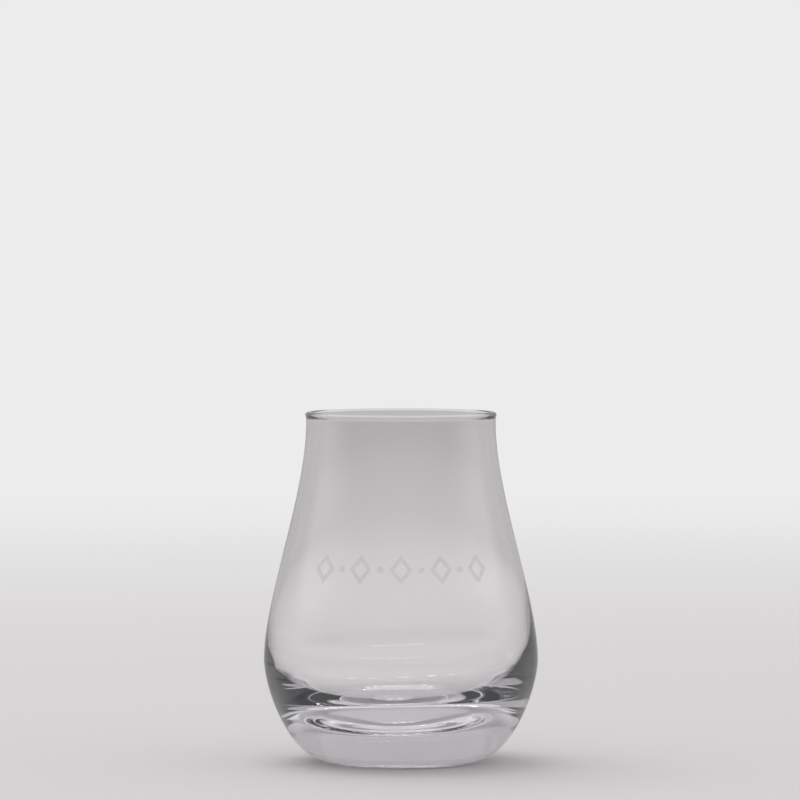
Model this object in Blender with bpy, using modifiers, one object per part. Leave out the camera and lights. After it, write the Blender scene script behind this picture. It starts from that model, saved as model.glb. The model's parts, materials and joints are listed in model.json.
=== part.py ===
"""Tulip tasting tumbler: a one-piece glass with a heavy base, and a satin border fired on the front of its wall.

Metres, +Z up. The origin is the centre of the standing ring, on the surface that the glass stands on.
The border faces -Y.
"""

import math

import bmesh
import bpy
from mathutils import Matrix, Vector, geometry

# Outer wall. A reach is how far a curve keeps to its end's direction before it bends away.
HEIGHT = 0.0860
RIM_RADIUS = 0.0233
RIM_FLARE = 0.0005
NECK_REACH = 0.0188
SHOULDER_REACH = 0.0148
BELLY_RADIUS = 0.0337
BELLY_HEIGHT = 0.0253
HIP_REACH = 0.0075
HEEL_REACH = 0.0097
FOOT_RADIUS = 0.0174

# Fire-polished rim: a roll of glass that stands a little proud of the wall on both sides
RIM_WALL = 0.0015
ROLL_PROUD = 0.0002
ROLL_RISE = 0.0010

# Cavity
BELLY_WALL = 0.0019
BOWL_HEIGHT = 0.0295
BOWL_SHOULDER_REACH = 0.0148
BOWL_HIP_REACH = 0.0145
FLOOR_REACH = 0.0220
FLOOR_HEIGHT = 0.0110

# Underside: a flat standing ring round a shallow dome
RING_WIDTH = 0.0024
PUNT_DEPTH = 0.0012

# Satin border: open lozenges with a round bead between each two, spaced along the wall
BORDER_HEIGHT = 0.0490
BORDER_PITCH = 0.0100
LOZENGE_COUNT = 5
LOZENGE_WIDTH = 0.0056
LOZENGE_HEIGHT = 0.0070
LOZENGE_STROKE = 0.0009
BEAD_RADIUS = 0.0008
SATIN_FILM = 0.00015
SATIN_GAP = 0.0001

# Fineness of the facets
TURN_STEPS = 64
WALL_SEGMENTS = 12
FLOOR_SEGMENTS = 13
FOOT_SEGMENTS = 11
ROLL_SEGMENTS = 5
PUNT_SEGMENTS = 4
LOZENGE_SIDE_CUTS = 5
BEAD_SEGMENTS = 16
MERGE_DISTANCE = 0.00001


def bezier(start, start_handle, end_handle, end, segments):
    """One stretch of the profile, from (radius, height) pairs."""
    corners = [Vector((radius, 0, height)) for radius, height in (start, start_handle, end_handle, end)]
    return geometry.interpolate_bezier(*corners, segments + 1)


def rim_roll():
    """The rim's section, from where the roll meets the inner wall over the top to where it meets the outer one."""
    half_width = RIM_WALL / 2 + ROLL_PROUD
    centre = RIM_RADIUS - RIM_WALL / 2
    half_turn = math.pi / 2 + math.acos(RIM_WALL / 2 / half_width)
    points = []
    for step in range(-ROLL_SEGMENTS, ROLL_SEGMENTS + 1):
        angle = half_turn * step / ROLL_SEGMENTS
        height = HEIGHT - ROLL_RISE * (1 - math.cos(angle))
        points.append(Vector((centre + half_width * math.sin(angle), 0, height)))
    return points


def outer_wall(roll_end):
    """Rim to belly, then belly to foot."""
    belly = (BELLY_RADIUS, BELLY_HEIGHT)
    upper = bezier(
        (roll_end.x, roll_end.z),
        (RIM_RADIUS - RIM_FLARE, HEIGHT - NECK_REACH),
        (BELLY_RADIUS, BELLY_HEIGHT + SHOULDER_REACH),
        belly,
        WALL_SEGMENTS,
    )
    lower = bezier(
        belly,
        (BELLY_RADIUS, BELLY_HEIGHT - HIP_REACH),
        (FOOT_RADIUS + HEEL_REACH, 0),
        (FOOT_RADIUS, 0),
        FOOT_SEGMENTS,
    )
    return upper + lower[1:]


def cavity_wall(roll_start):
    """Middle of the floor to the bowl's widest point, then up to the rim."""
    radius = BELLY_RADIUS - BELLY_WALL
    widest = (radius, BOWL_HEIGHT)
    lower = bezier(
        (0, FLOOR_HEIGHT),
        (FLOOR_REACH, FLOOR_HEIGHT),
        (radius, BOWL_HEIGHT - BOWL_HIP_REACH),
        widest,
        FLOOR_SEGMENTS,
    )
    upper = bezier(
        widest,
        (radius, BOWL_HEIGHT + BOWL_SHOULDER_REACH),
        (roll_start.x - RIM_FLARE, HEIGHT - NECK_REACH),
        (roll_start.x, roll_start.z),
        WALL_SEGMENTS,
    )
    return lower + upper[1:]


def underside():
    """Inner edge of the standing ring to the top of the dome, along a parabola."""
    edge = FOOT_RADIUS - RING_WIDTH
    return bezier(
        (edge, 0),
        (edge * 2 / 3, PUNT_DEPTH * 2 / 3),
        (edge / 3, PUNT_DEPTH),
        (0, PUNT_DEPTH),
        PUNT_SEGMENTS,
    )


def make_material(name, color, roughness, transmission):
    material = bpy.data.materials.new(name)
    material.use_nodes = True
    shader = material.node_tree.nodes["Principled BSDF"]
    shader.inputs["Base Color"].default_value = (*color, 1)
    shader.inputs["Roughness"].default_value = roughness
    shader.inputs["Metallic"].default_value = 0
    shader.inputs["IOR"].default_value = 1.52
    shader.inputs["Transmission Weight"].default_value = transmission
    return material


def make_glass_body(collection, material):
    roll = rim_roll()
    points = cavity_wall(roll[0]) + roll[1:] + outer_wall(roll[-1])[1:] + underside()
    mesh = bpy.data.meshes.new("glass_body")
    mesh.from_pydata(points, [(i, i + 1) for i in range(len(points) - 1)], [])
    mesh.materials.append(material)
    body = bpy.data.objects.new("glass_body", mesh)
    collection.objects.link(body)
    turn = body.modifiers.new("turn", "SCREW")
    turn.steps = turn.render_steps = TURN_STEPS
    turn.use_merge_vertices = True
    turn.merge_threshold = MERGE_DISTANCE
    turn.use_smooth_shade = True
    return body


def wall_radius(height):
    """Radius of the outer wall between the belly and the rim."""
    points = outer_wall(rim_roll()[-1])
    for above, below in zip(points, points[1:]):
        if above.z >= height >= below.z:
            share = (above.z - height) / (above.z - below.z)
            return above.lerp(below, share).x
    raise ValueError("The border is higher than the wall")


def fire_on(collection, body, material, name, outline, place):
    """Lays a flat outline, drawn in XY, on the front of the wall, at a distance round it from the middle."""
    upright = Matrix.Rotation(math.pi / 2, 4, "X")
    outline.transform(Matrix.Translation((0, -BELLY_RADIUS, BORDER_HEIGHT)) @ upright)
    mesh = bpy.data.meshes.new(name)
    outline.to_mesh(mesh)
    outline.free()
    mesh.materials.append(material)
    piece = bpy.data.objects.new(name, mesh)
    piece.parent = body
    piece.rotation_euler.z = place / wall_radius(BORDER_HEIGHT)
    collection.objects.link(piece)
    wrap = piece.modifiers.new("wrap", "SHRINKWRAP")
    wrap.target = body
    wrap.wrap_method = "PROJECT"
    wrap.use_project_y = True
    wrap.offset = SATIN_GAP
    film = piece.modifiers.new("film", "SOLIDIFY")
    film.thickness = SATIN_FILM
    film.offset = 1
    return piece


def lozenge_outline():
    """An open lozenge: a band of even width, cut along its sides so that it follows the wall."""
    outline = bmesh.new()
    bmesh.ops.create_circle(outline, cap_ends=True, radius=0.5, segments=4)
    bmesh.ops.scale(outline, vec=(LOZENGE_WIDTH, LOZENGE_HEIGHT, 1), verts=outline.verts)
    middle = outline.faces[:]
    bmesh.ops.inset_region(
        outline, faces=middle, use_boundary=True, use_even_offset=True, thickness=LOZENGE_STROKE
    )
    bmesh.ops.delete(outline, geom=middle, context="FACES")
    sides = [edge for edge in outline.edges if edge.is_boundary]
    bmesh.ops.subdivide_edges(outline, edges=sides, cuts=LOZENGE_SIDE_CUTS, use_grid_fill=True)
    return outline


def bead_outline():
    outline = bmesh.new()
    bmesh.ops.create_circle(outline, cap_ends=True, cap_tris=True, radius=BEAD_RADIUS, segments=BEAD_SEGMENTS)
    return outline


def main():
    for old in list(bpy.data.objects):
        bpy.data.objects.remove(old)
    collection = bpy.data.collections.new("tumbler")
    bpy.context.scene.collection.children.link(collection)
    clear_glass = make_material("clear_glass", (0.93, 0.92, 0.93), 0.02, 1)
    satin_frit = make_material("satin_frit", (0.72, 0.70, 0.71), 0.55, 0.4)

    body = make_glass_body(collection, clear_glass)
    first = -BORDER_PITCH * (LOZENGE_COUNT - 1) / 2
    for index in range(LOZENGE_COUNT):
        place = first + index * BORDER_PITCH
        fire_on(collection, body, satin_frit, f"satin_lozenge_{index + 1}", lozenge_outline(), place)
    for index in range(LOZENGE_COUNT - 1):
        place = first + (index + 0.5) * BORDER_PITCH
        fire_on(collection, body, satin_frit, f"satin_bead_{index + 1}", bead_outline(), place)


main()
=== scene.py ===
import json
import math

import bpy
from mathutils import Matrix, Vector

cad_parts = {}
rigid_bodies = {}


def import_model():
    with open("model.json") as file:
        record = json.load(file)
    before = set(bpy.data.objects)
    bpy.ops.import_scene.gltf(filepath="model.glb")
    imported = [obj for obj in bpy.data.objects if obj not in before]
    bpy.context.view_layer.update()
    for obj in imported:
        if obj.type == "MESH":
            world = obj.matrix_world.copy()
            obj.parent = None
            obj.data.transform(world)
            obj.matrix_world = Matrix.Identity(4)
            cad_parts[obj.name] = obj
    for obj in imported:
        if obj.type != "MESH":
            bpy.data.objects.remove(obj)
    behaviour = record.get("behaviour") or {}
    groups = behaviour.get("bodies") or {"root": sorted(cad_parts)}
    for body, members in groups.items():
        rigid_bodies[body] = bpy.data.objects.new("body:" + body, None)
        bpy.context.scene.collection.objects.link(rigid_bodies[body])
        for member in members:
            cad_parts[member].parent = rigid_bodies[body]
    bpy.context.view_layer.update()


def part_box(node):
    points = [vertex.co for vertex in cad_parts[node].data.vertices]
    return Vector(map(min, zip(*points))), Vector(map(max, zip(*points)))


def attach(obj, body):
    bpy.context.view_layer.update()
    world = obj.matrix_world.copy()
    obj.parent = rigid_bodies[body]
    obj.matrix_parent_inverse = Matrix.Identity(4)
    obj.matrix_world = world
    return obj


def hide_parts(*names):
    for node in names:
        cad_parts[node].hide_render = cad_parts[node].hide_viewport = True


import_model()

bpy.ops.object.select_all(action="DESELECT")


def addNode(tree, kind, **values):
    node = tree.nodes.new(kind)
    for name, value in values.items():
        if hasattr(node, name):
            setattr(node, name, value)
        else:
            node.inputs[name.replace("_", " ")].default_value = value
    return node


def newMaterial(name):
    material = bpy.data.materials.new(name)
    material.use_nodes = True
    tree = material.node_tree
    return material, tree, tree.nodes["Principled BSDF"]


def applyModifiers(piece):
    bpy.ops.object.select_all(action="DESELECT")
    bpy.context.view_layer.objects.active = piece
    piece.select_set(True)
    for modifier in list(piece.modifiers):
        bpy.ops.object.modifier_apply(modifier=modifier.name)


# clear glass: faint waves in the surface, as left by the mould and the flame, and a faint grey depth

clearGlass = {
    "tint": (0.990, 0.985, 0.989, 1),
    "depthColor": (0.940, 0.938, 0.952, 1),
    "depthDensity": 40.0,
    "ior": 1.52,
    "waveScale": 55.0,
    "waveDetail": 1.5,
    "waveStrength": 0.02,
    "waveHeight": 0.001,
    "haze": (0.0, 0.012),
}


def makeClearGlass():
    material, tree, shader = newMaterial("clearGlass")
    shader.inputs["Base Color"].default_value = clearGlass["tint"]
    shader.inputs["Transmission Weight"].default_value = 1
    shader.inputs["IOR"].default_value = clearGlass["ior"]
    place = addNode(tree, "ShaderNodeTexCoord")
    wave = addNode(
        tree, "ShaderNodeTexNoise", Scale=clearGlass["waveScale"], Detail=clearGlass["waveDetail"],
    )
    tree.links.new(place.outputs["Object"], wave.inputs["Vector"])
    bump = addNode(
        tree, "ShaderNodeBump", Strength=clearGlass["waveStrength"], Distance=clearGlass["waveHeight"],
    )
    tree.links.new(wave.outputs["Fac"], bump.inputs["Height"])
    tree.links.new(bump.outputs["Normal"], shader.inputs["Normal"])
    least, most = clearGlass["haze"]
    haze = addNode(tree, "ShaderNodeMapRange", To_Min=least, To_Max=most)
    tree.links.new(wave.outputs["Fac"], haze.inputs["Value"])
    tree.links.new(haze.outputs["Result"], shader.inputs["Roughness"])
    depth = addNode(
        tree,
        "ShaderNodeVolumeAbsorption",
        Color=clearGlass["depthColor"],
        Density=clearGlass["depthDensity"],
    )
    tree.links.new(depth.outputs["Volume"], tree.nodes["Material Output"].inputs["Volume"])
    return material


# satin frit: a thin fired-on print, finely grained

satinFrit = {
    "pale": (1.0, 0.99, 0.995, 1),
    "dull": (0.97, 0.96, 0.965, 1),
    "grainScale": 2600.0,
    "grainDetail": 3.0,
    "grainStrength": 0.15,
    "grainHeight": 0.0001,
    "roughness": (0.18, 0.30),
    "transmission": 0.92,
}


def makeSatinFrit():
    material, tree, shader = newMaterial("satinFrit")
    shader.inputs["Transmission Weight"].default_value = satinFrit["transmission"]
    shader.inputs["IOR"].default_value = clearGlass["ior"]
    place = addNode(tree, "ShaderNodeTexCoord")
    grain = addNode(
        tree, "ShaderNodeTexNoise", Scale=satinFrit["grainScale"], Detail=satinFrit["grainDetail"],
    )
    tree.links.new(place.outputs["Object"], grain.inputs["Vector"])
    ramp = addNode(tree, "ShaderNodeValToRGB")
    ramp.color_ramp.elements[0].color = satinFrit["dull"]
    ramp.color_ramp.elements[1].color = satinFrit["pale"]
    tree.links.new(grain.outputs["Fac"], ramp.inputs["Fac"])
    tree.links.new(ramp.outputs["Color"], shader.inputs["Base Color"])
    least, most = satinFrit["roughness"]
    rough = addNode(tree, "ShaderNodeMapRange", To_Min=least, To_Max=most)
    tree.links.new(grain.outputs["Fac"], rough.inputs["Value"])
    tree.links.new(rough.outputs["Result"], shader.inputs["Roughness"])
    bump = addNode(
        tree, "ShaderNodeBump", Strength=satinFrit["grainStrength"], Distance=satinFrit["grainHeight"],
    )
    tree.links.new(grain.outputs["Fac"], bump.inputs["Height"])
    tree.links.new(bump.outputs["Normal"], shader.inputs["Normal"])
    return material


# glass body: half its section drawn as one curve, then spun about the upright axis

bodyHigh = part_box("glass_body")[1]  # the solid's own height and radius
glassBody = {
    "height": bodyHigh.z,
    "bellyRadius": bodyHigh.x,
    "bellyHeight": 0.0253,
    "rimRadius": 0.0233,
    "rimFlare": 0.0005,
    "neckReach": 0.0188,
    "shoulderReach": 0.0148,
    "hipReach": 0.0075,
    "heelReach": 0.0097,
    "footRadius": 0.0174,
    "rimWall": 0.0015,
    "rollProud": 0.0002,
    "rollRise": 0.0006,
    "rollDrop": 0.0016,
    "easeShare": 0.4,  # of the height between roll and wall, for the handles that ease one into the other
    "bellyWall": 0.0019,
    "bowlHeight": 0.0295,
    "bowlShoulderReach": 0.0148,
    "bowlHipReach": 0.0125,
    "floorReach": 0.0225,
    "floorHeight": 0.0110,
    "ringWidth": 0.0024,
    "puntDepth": 0.0012,
    "lean": math.radians(0.95),  # the bowl, as blown, is a little off upright
    "leanPivot": -0.010,
    "leanFade": (0.050, 0.010),  # heights between which the lean comes in
    "bowlFacing": 0.001,  # a normal that points this little outwards still belongs to the bowl
    "curveSteps": 24,
    "turnSteps": 256,
    "mergeDistance": 1e-6,
}
arcPull = 0.5523  # handle length, as a share of the radius, that makes a quarter of an ellipse


def sectionKnots():
    g = glassBody
    top = g["height"]
    bowlRadius = g["bellyRadius"] - g["bellyWall"]
    innerRim = g["rimRadius"] - g["rimWall"]
    rollMiddle = g["rimRadius"] - g["rimWall"] / 2
    rollHalf = g["rimWall"] / 2 + g["rollProud"]
    neck = Vector((g["rimFlare"], g["neckReach"] - g["rollDrop"]))
    ease = (g["rollDrop"] - g["rollRise"]) * g["easeShare"]
    easeNeck = neck.normalized() * ease
    ring = g["footRadius"] - g["ringWidth"]
    # radius and height of each knot, then its handle towards the one before and towards the next
    return [
        ((0, g["floorHeight"]), (0, 0), (g["floorReach"], 0)),
        ((bowlRadius, g["bowlHeight"]), (0, -g["bowlHipReach"]), (0, g["bowlShoulderReach"])),
        ((innerRim, top - g["rollDrop"]), -neck, easeNeck),
        ((rollMiddle - rollHalf, top - g["rollRise"]), (0, -ease), (0, arcPull * g["rollRise"])),
        ((rollMiddle, top), (-arcPull * rollHalf, 0), (arcPull * rollHalf, 0)),
        ((rollMiddle + rollHalf, top - g["rollRise"]), (0, arcPull * g["rollRise"]), (0, -ease)),
        ((g["rimRadius"], top - g["rollDrop"]), easeNeck, -neck),
        ((g["bellyRadius"], g["bellyHeight"]), (0, g["shoulderReach"]), (0, -g["hipReach"])),
        ((g["footRadius"], 0), (g["heelReach"], 0), (-g["ringWidth"] / 3, 0)),
        ((ring, 0), (g["ringWidth"] / 3, 0), (-ring / 3, 0)),
        ((0, g["puntDepth"]), (ring / 2, 0), (0, 0)),
    ]


def facesBowl(vertex):
    outward = Vector((vertex.co.x, vertex.co.y, 0))
    inside = vertex.normal.dot(outward) < glassBody["bowlFacing"]
    return inside and vertex.co.z > glassBody["floorHeight"] / 2


def leanBowl(body):
    pivot = Vector((0, 0, glassBody["leanPivot"]))
    top, full = glassBody["leanFade"]
    # all chosen before any of them moves, because a move changes the normals
    inBowl = [vertex for vertex in body.data.vertices if facesBowl(vertex)]
    for vertex in inBowl:
        share = min(max((top - vertex.co.z) / (top - full), 0), 1)
        # eases in and out, with no crease at either end
        share = share ** 3 * (share * (share * 6 - 15) + 10)
        turn = Matrix.Rotation(-glassBody["lean"] * share, 3, "Y")
        vertex.co = pivot + turn @ (vertex.co - pivot)


def makeGlassBody(material):
    knots = sectionKnots()
    bpy.ops.curve.primitive_bezier_curve_add(location=(0, 0, 0))
    body = bpy.context.object
    body.name = "glassBody"
    body.data.dimensions = "3D"
    body.data.resolution_u = glassBody["curveSteps"]
    section = body.data.splines[0]
    section.bezier_points.add(len(knots) - len(section.bezier_points))
    for knot, (place, before, after) in zip(section.bezier_points, knots):
        knot.handle_left_type = knot.handle_right_type = "FREE"
        knot.co = (place[0], 0, place[1])
        knot.handle_left = (place[0] + before[0], 0, place[1] + before[1])
        knot.handle_right = (place[0] + after[0], 0, place[1] + after[1])
    bpy.ops.object.convert(target="MESH")
    bpy.ops.object.mode_set(mode="EDIT")
    bpy.ops.mesh.select_all(action="SELECT")
    bpy.ops.mesh.spin(steps=glassBody["turnSteps"], angle=math.tau, center=(0, 0, 0), axis=(0, 0, 1))
    bpy.ops.mesh.select_all(action="SELECT")
    bpy.ops.mesh.remove_doubles(threshold=glassBody["mergeDistance"])
    bpy.ops.mesh.normals_make_consistent(inside=False)
    bpy.ops.object.mode_set(mode="OBJECT")
    leanBowl(body)
    bpy.ops.object.shade_smooth()
    body.data.materials.clear()
    body.data.materials.append(material)
    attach(body, "root")
    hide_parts("glass_body")
    return body


# satin border: one open lozenge and one bead, wrapped on the wall and copied round it

satinBorder = {
    "height": 0.0490,
    "pitch": 0.0100,
    "lozengeCount": 5,
    "lozengeWidth": 0.0056,
    "lozengeHeight": 0.0070,
    "stroke": 0.0009,
    "beadRadius": 0.0008,
    "beadSides": 32,
    "sideCuts": 11,
    "gap": 0.00002,
    "film": 0.00003,
}


def wrapOnWall(piece, body, material):
    wrap = piece.modifiers.new("wrap", "SHRINKWRAP")
    wrap.target = body
    wrap.wrap_method = "PROJECT"
    wrap.use_project_y = True
    wrap.offset = satinBorder["gap"]
    film = piece.modifiers.new("film", "SOLIDIFY")
    film.thickness = satinBorder["film"]
    film.offset = 1
    applyModifiers(piece)
    piece.data.materials.append(material)


def drawOutline(name, sides, radius, fill):
    place = (0, -glassBody["bellyRadius"], satinBorder["height"])
    bpy.ops.mesh.primitive_circle_add(
        vertices=sides, radius=radius, fill_type=fill, location=place, rotation=(math.pi / 2, 0, 0),
    )
    outline = bpy.context.object
    outline.name = name
    return outline


def makeLozenge(body, material):
    b = satinBorder
    lozenge = drawOutline("satinLozenge", 4, b["lozengeHeight"] / 2, "NGON")
    lozenge.scale.x = b["lozengeWidth"] / b["lozengeHeight"]
    bpy.ops.object.transform_apply(location=True, rotation=True, scale=True)
    bpy.ops.object.mode_set(mode="EDIT")
    bpy.ops.mesh.select_all(action="SELECT")
    bpy.ops.mesh.inset(thickness=b["stroke"], use_even_offset=True)
    bpy.ops.mesh.delete(type="FACE")
    bpy.ops.mesh.select_mode(type="EDGE")
    bpy.ops.mesh.select_all(action="DESELECT")
    bpy.ops.mesh.select_non_manifold(extend=False)
    bpy.ops.mesh.subdivide(number_cuts=b["sideCuts"])
    bpy.ops.object.mode_set(mode="OBJECT")
    wrapOnWall(lozenge, body, material)
    return lozenge


def makeBead(body, material):
    bead = drawOutline("satinBead", satinBorder["beadSides"], satinBorder["beadRadius"], "TRIFAN")
    bpy.ops.object.transform_apply(location=True, rotation=True, scale=True)
    wrapOnWall(bead, body, material)
    return bead


def copyRound(pattern, name, angle, node):
    bpy.ops.object.select_all(action="DESELECT")
    bpy.context.view_layer.objects.active = pattern
    pattern.select_set(True)
    bpy.ops.object.duplicate(linked=False)
    piece = bpy.context.object
    piece.name = name
    piece.rotation_euler.z = angle
    bpy.ops.object.transform_apply(location=True, rotation=True, scale=True)
    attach(piece, "root")
    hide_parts(node)
    return piece


def makeBorder(body, material):
    b = satinBorder
    lozenge = makeLozenge(body, material)
    bead = makeBead(body, material)
    reach = min(vertex.co.y for vertex in bead.data.vertices)
    turn = b["pitch"] / -reach  # angle from one lozenge to the next
    first = -turn * (b["lozengeCount"] - 1) / 2
    for index in range(b["lozengeCount"]):
        name = f"satinLozenge{index + 1}"
        copyRound(lozenge, name, first + turn * index, f"satin_lozenge_{index + 1}")
    for index in range(b["lozengeCount"] - 1):
        name = f"satinBead{index + 1}"
        copyRound(bead, name, first + turn * (index + 0.5), f"satin_bead_{index + 1}")
    bpy.data.objects.remove(lozenge)
    bpy.data.objects.remove(bead)


# studio: a pale floor that fades into a pale surround
# its bright sides, its ceiling and a low belt of shade are met only by light that the glass has reflected

studio = {
    "floorColor": (0.675, 0.656, 0.665, 1),
    "floorRadius": 4.0,
    "floorSides": 96,
    "floorRoughness": 0.7,
    "floorSheen": 0.1,
    "floorDrop": 0.0001,  # air under the standing ring, so that the ring still mirrors
    "floorFade": (0.3, 2.2),  # into the surround, as the glass shows it
    "floorFadeSeen": (0.25, 1.3),  # into the backdrop, as the camera sees it
    "floorGlow": 0.7,  # painted light: share that the glass shows as a glow without its shadow, straight through or under the foot
    "floorGlowMost": 0.98,
    "floorGlowReach": (0.020, 0.032),  # distance from the middle at which the painted pool of light under the foot ends
    "floorPaintedShade": (0.44, 0.428, 0.434, 1),  # painted shade behind the foot, for light that the glass has reflected
    "floorPaintedShadeBack": (0.5, 0.85),  # cosine of the angle from straight behind, where the painted shade starts and is full
    "backdrop": (0.84, 0.84, 0.84, 1),
    "surround": (0.518, 0.500, 0.507, 1),
    "sides": (0.95, 0.93, 0.94, 1),  # to the left and the right
    "sidesFront": (-0.85, -0.20),  # cosine of the angle from straight behind: they start, and are full
    "sidesBack": (0.20, 0.55),  # and here they thin out, and are gone
    "sidesRise": (0.095, 0.26),  # sine of the height: they start, and are full
    "sidesTop": (0.50, 0.70),
    "ceiling": (0.80, 0.78, 0.79, 1),
    "ceilingRise": (0.33, 0.50),
    "shade": (0.06, 0.062, 0.061, 1),  # low at the front
    "shadeRise": (0.12, 0.42),  # sine of the height: it thins out, and is gone
    "shadeReach": (0.12, 0.42),  # distance along the floor: it starts, and is full
    "shadeBack": (-0.5, 0.3),  # cosine of the angle from straight behind: it thins out, and is gone
    "shadeTurns": (3.0, 9.0),  # light reflected this often inside the glass meets it on all sides
    "shadeTop": (0.5, 0.9),
    "daylight": (0.80, 0.80, 0.80, 1),
    "lampPlace": (-0.5, 0.6, 2.0),
    "lampTarget": (0, 0, 0.04),
    "lampSide": 1.5,
    "lampPower": 12.0,
    "bounces": 96,
}


def smoothRange(tree, source, ends):
    node = addNode(
        tree, "ShaderNodeMapRange", interpolation_type="SMOOTHSTEP", From_Min=ends[0], From_Max=ends[1],
    )
    tree.links.new(source, node.inputs["Value"])
    return node.outputs["Result"]


def mixColors(tree, amount, first, second):
    node = addNode(tree, "ShaderNodeMixRGB")
    tree.links.new(amount, node.inputs["Fac"])
    for name, value in (("Color1", first), ("Color2", second)):
        if isinstance(value, tuple):
            node.inputs[name].default_value = value
        else:
            tree.links.new(value, node.inputs[name])
    return node.outputs["Color"]


def combine(tree, operation, first, second):
    node = addNode(tree, "ShaderNodeMath", operation=operation, use_clamp=True)
    for socket, value in zip(node.inputs, (first, second)):
        if isinstance(value, (int, float)):
            socket.default_value = value
        else:
            tree.links.new(value, socket)
    return node.outputs["Value"]


def headingOf(tree, place):
    # the way a place or a direction lies, seen from above
    level = addNode(tree, "ShaderNodeVectorMath", operation="MULTIPLY")
    level.inputs[1].default_value = (1, 1, 0)
    tree.links.new(place, level.inputs[0])
    heading = addNode(tree, "ShaderNodeVectorMath", operation="NORMALIZE")
    tree.links.new(level.outputs["Vector"], heading.inputs[0])
    axes = addNode(tree, "ShaderNodeSeparateXYZ")
    tree.links.new(heading.outputs["Vector"], axes.inputs["Vector"])
    return axes.outputs


def shadeFor(tree, place, rise, amount):
    # how far the shade covers a place or a direction, for light that the glass has reflected
    behind = smoothRange(tree, headingOf(tree, place)["Y"], studio["shadeBack"])
    amount = combine(tree, "SUBTRACT", amount, behind)
    turns = addNode(tree, "ShaderNodeLightPath").outputs["Glossy Depth"]
    often = combine(tree, "SUBTRACT", smoothRange(tree, turns, studio["shadeTurns"]), rise)
    return combine(tree, "MULTIPLY", combine(tree, "ADD", amount, often), turns)


def mixShaders(tree, amount, first, second):
    node = addNode(tree, "ShaderNodeMixShader")
    tree.links.new(amount, node.inputs["Fac"])
    tree.links.new(first, node.inputs[1])
    tree.links.new(second, node.inputs[2])
    return node.outputs["Shader"]


def makeFloor():
    bpy.ops.mesh.primitive_circle_add(
        vertices=studio["floorSides"],
        radius=studio["floorRadius"],
        fill_type="NGON",
        location=(0, 0, -studio["floorDrop"]),
    )
    floor = bpy.context.object
    floor.name = "floor"
    material, tree, shader = newMaterial("paleFloor")
    shader.inputs["Roughness"].default_value = studio["floorRoughness"]
    shader.inputs["Specular IOR Level"].default_value = studio["floorSheen"]
    place = addNode(tree, "ShaderNodeTexCoord").outputs["Object"]
    distance = addNode(tree, "ShaderNodeVectorMath", operation="LENGTH")
    tree.links.new(place, distance.inputs[0])
    reach = distance.outputs["Value"]
    ray = addNode(tree, "ShaderNodeLightPath").outputs
    far = smoothRange(tree, reach, studio["floorFade"])
    far = combine(tree, "SUBTRACT", far, ray["Is Camera Ray"])
    near = combine(tree, "SUBTRACT", 1, smoothRange(tree, reach, studio["floorGlowReach"]))
    # painted shade on the floor behind the foot, met only by light that the glass has reflected
    behind = smoothRange(tree, headingOf(tree, place)["Y"], studio["floorPaintedShadeBack"])
    dim = combine(tree, "MULTIPLY", combine(tree, "SUBTRACT", ray["Glossy Depth"], near), behind)
    color = mixColors(tree, dim, studio["floorColor"], studio["floorPaintedShade"])
    color = mixColors(tree, far, color, studio["surround"])
    shaded = shadeFor(tree, place, 0, smoothRange(tree, reach, studio["shadeReach"]))
    color = mixColors(tree, shaded, color, studio["shade"])
    tree.links.new(color, shader.inputs["Base Color"])
    # painted light: the floor glows without its shadow, as the glass shows most of it, and as a pool of
    # light under the foot
    plain = addNode(tree, "ShaderNodeEmission")
    tree.links.new(color, plain.inputs["Color"])
    glow = combine(tree, "ADD", near, combine(tree, "SUBTRACT", 1, ray["Glossy Depth"]))
    glow = combine(tree, "ADD", far, combine(tree, "MULTIPLY", glow, studio["floorGlow"]))
    glow = combine(tree, "MULTIPLY", glow, ray["Is Transmission Ray"])
    glow = combine(tree, "MULTIPLY", glow, studio["floorGlowMost"])
    shown = mixShaders(tree, glow, shader.outputs["BSDF"], plain.outputs["Emission"])
    # into the backdrop, as the camera sees it
    backdrop = addNode(tree, "ShaderNodeEmission", Color=studio["backdrop"])
    seen = smoothRange(tree, reach, studio["floorFadeSeen"])
    seen = combine(tree, "MULTIPLY", seen, ray["Is Camera Ray"])
    shown = mixShaders(tree, seen, shown, backdrop.outputs["Emission"])
    tree.links.new(shown, tree.nodes["Material Output"].inputs["Surface"])
    floor.data.materials.append(material)


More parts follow.
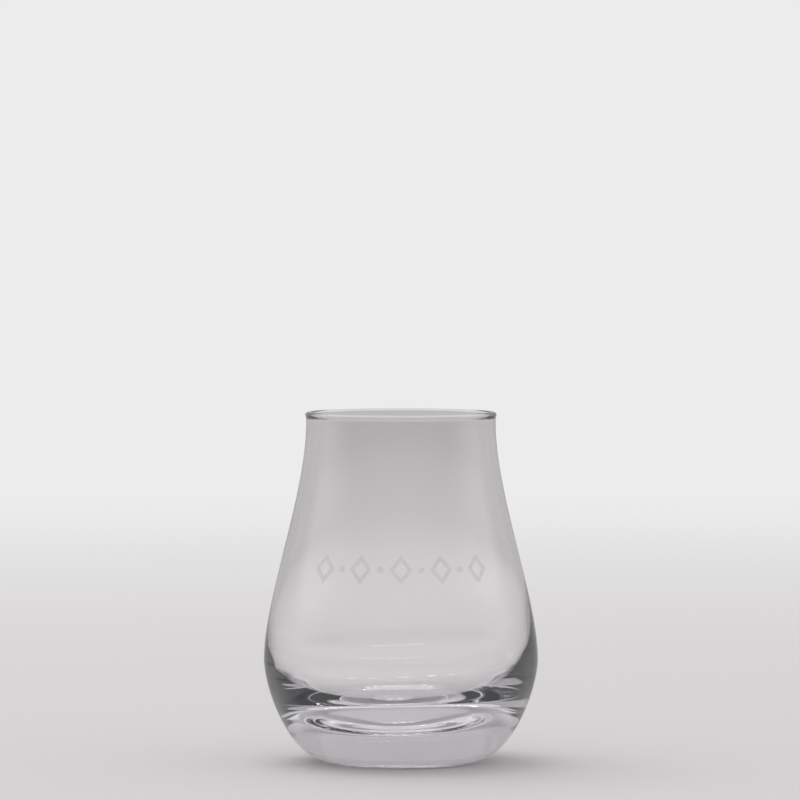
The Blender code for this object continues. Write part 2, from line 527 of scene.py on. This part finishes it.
def makeSurround():
    world = bpy.data.worlds.new("studio")
    bpy.context.scene.world = world
    world.use_nodes = True
    tree = world.node_tree
    place = addNode(tree, "ShaderNodeTexCoord").outputs["Generated"]
    axes = addNode(tree, "ShaderNodeSeparateXYZ")
    tree.links.new(place, axes.inputs["Vector"])
    ray = addNode(tree, "ShaderNodeLightPath").outputs
    rise = axes.outputs["Z"]
    heading = headingOf(tree, place)["Y"]
    aside = [smoothRange(tree, heading, studio[key]) for key in ("sidesFront", "sidesBack")]
    aside = combine(tree, "MULTIPLY", combine(tree, "SUBTRACT", *aside), ray["Glossy Depth"])
    aside = combine(tree, "MULTIPLY", aside, smoothRange(tree, rise, studio["sidesRise"]))
    aside = combine(tree, "SUBTRACT", aside, smoothRange(tree, rise, studio["sidesTop"]))
    above = smoothRange(tree, rise, studio["ceilingRise"])
    above = combine(tree, "MULTIPLY", above, ray["Glossy Depth"])
    inGlass = mixColors(tree, above, studio["surround"], studio["ceiling"])
    inGlass = mixColors(tree, aside, inGlass, studio["sides"])
    low = combine(tree, "SUBTRACT", 1, smoothRange(tree, rise, studio["shadeRise"]))
    high = smoothRange(tree, rise, studio["shadeTop"])
    inGlass = mixColors(tree, shadeFor(tree, place, high, low), inGlass, studio["shade"])
    mirrored = combine(tree, "ADD", ray["Is Glossy Ray"], ray["Is Transmission Ray"])
    mirrored = combine(tree, "SUBTRACT", mirrored, ray["Diffuse Depth"])
    color = mixColors(tree, mirrored, studio["daylight"], inGlass)
    color = mixColors(tree, ray["Is Camera Ray"], color, studio["backdrop"])
    tree.links.new(color, tree.nodes["Background"].inputs["Color"])


def makeLamp():
    bpy.ops.object.light_add(type="AREA", location=studio["lampPlace"])
    lamp = bpy.context.object
    lamp.name = "softLamp"
    lamp.data.shape = "SQUARE"
    lamp.data.size = studio["lampSide"]
    lamp.data.energy = studio["lampPower"]
    aim = Vector(studio["lampTarget"]) - lamp.location
    lamp.rotation_euler = aim.to_track_quat("-Z", "Y").to_euler()
    lamp.visible_glossy = lamp.visible_transmission = False


# three thin strips overhead, at the front, the middle and the back, seen only as glints

strips = {
    "rows": ((-0.46, 0.345), (-0.05, 0.300), (0.46, 0.285)),  # place and height of each
    "sizes": ((0.48, 0.020), (0.48, 0.010), (0.12, 0.008)),
    "facing": 0.03,  # height on the glass's axis that they face
    "pitch": 0.026,  # of the lit squares along a strip
    "dark": 0.65,  # share of the pitch between two of them
    "strength": 60.0,
}


def makeStrips():
    material = bpy.data.materials.new("stripLight")
    material.use_nodes = True
    tree = material.node_tree
    place = addNode(tree, "ShaderNodeTexCoord").outputs["Object"]
    axes = addNode(tree, "ShaderNodeSeparateXYZ")
    tree.links.new(place, axes.inputs["Vector"])
    along = addNode(tree, "ShaderNodeMath", operation="MULTIPLY")
    tree.links.new(axes.outputs["X"], along.inputs[0])
    along.inputs[1].default_value = 1 / strips["pitch"]
    dots = combine(tree, "GREATER_THAN", combine(tree, "FRACT", along.outputs["Value"], 0), strips["dark"])
    glow = addNode(tree, "ShaderNodeEmission", Strength=strips["strength"])
    ray = addNode(tree, "ShaderNodeLightPath").outputs
    inside = combine(tree, "MULTIPLY", ray["Glossy Depth"], ray["Transmission Depth"])
    lit = combine(tree, "MULTIPLY", dots, inside)  # only for light that has been inside the glass
    clear = addNode(tree, "ShaderNodeBsdfTransparent")
    shown = mixShaders(tree, lit, clear.outputs["BSDF"], glow.outputs["Emission"])
    tree.links.new(shown, tree.nodes["Material Output"].inputs["Surface"])
    for number, ((y, z), size) in enumerate(zip(strips["rows"], strips["sizes"])):
        bpy.ops.mesh.primitive_plane_add(size=1, location=(0, y, z))
        strip = bpy.context.object
        strip.name = f"strip{number + 1}"
        strip.scale = (*size, 1)
        bpy.ops.object.transform_apply(location=False, rotation=False, scale=True)
        strip.rotation_euler.x = math.atan2(y, strips["facing"] - z)
        strip.data.materials.append(material)
        strip.visible_camera = False
        strip.visible_diffuse = False


# camera: a long lens, a little above the rim

view = {
    "distance": 1.4,
    "rise": 0.0384,  # climb above the rim for each metre of distance
    "focalPixels": 5704.0,
    "rimPixel": (400.9, 411.8),
    "framePixels": 800,
    "sensor": 36.0,
}


def makeCamera():
    half = view["framePixels"] / 2
    climb = view["rise"] * view["distance"]
    bpy.ops.object.camera_add(location=(0, -view["distance"], glassBody["height"] + climb))
    camera = bpy.context.object
    camera.data.sensor_width = view["sensor"]
    camera.data.lens = view["focalPixels"] / view["framePixels"] * view["sensor"]
    tilt = (view["rimPixel"][1] - half) / view["focalPixels"] - math.atan2(climb, view["distance"])
    swing = (view["rimPixel"][0] - half) / view["focalPixels"]
    camera.rotation_euler = (math.pi / 2 + tilt, 0, swing)
    bpy.context.scene.camera = camera


makeCamera()
print("camera set")
body = makeGlassBody(makeClearGlass())
print("glass body:", len(body.data.polygons), "faces")
makeBorder(body, makeSatinFrit())
print("satin border:", satinBorder["lozengeCount"], "lozenges")
makeFloor()
makeSurround()
makeLamp()
makeStrips()
scene = bpy.context.scene
scene.view_settings.view_transform = "Standard"
scene.cycles.max_bounces = studio["bounces"]
scene.cycles.glossy_bounces = studio["bounces"]
scene.cycles.transmission_bounces = studio["bounces"]
print("studio lit")
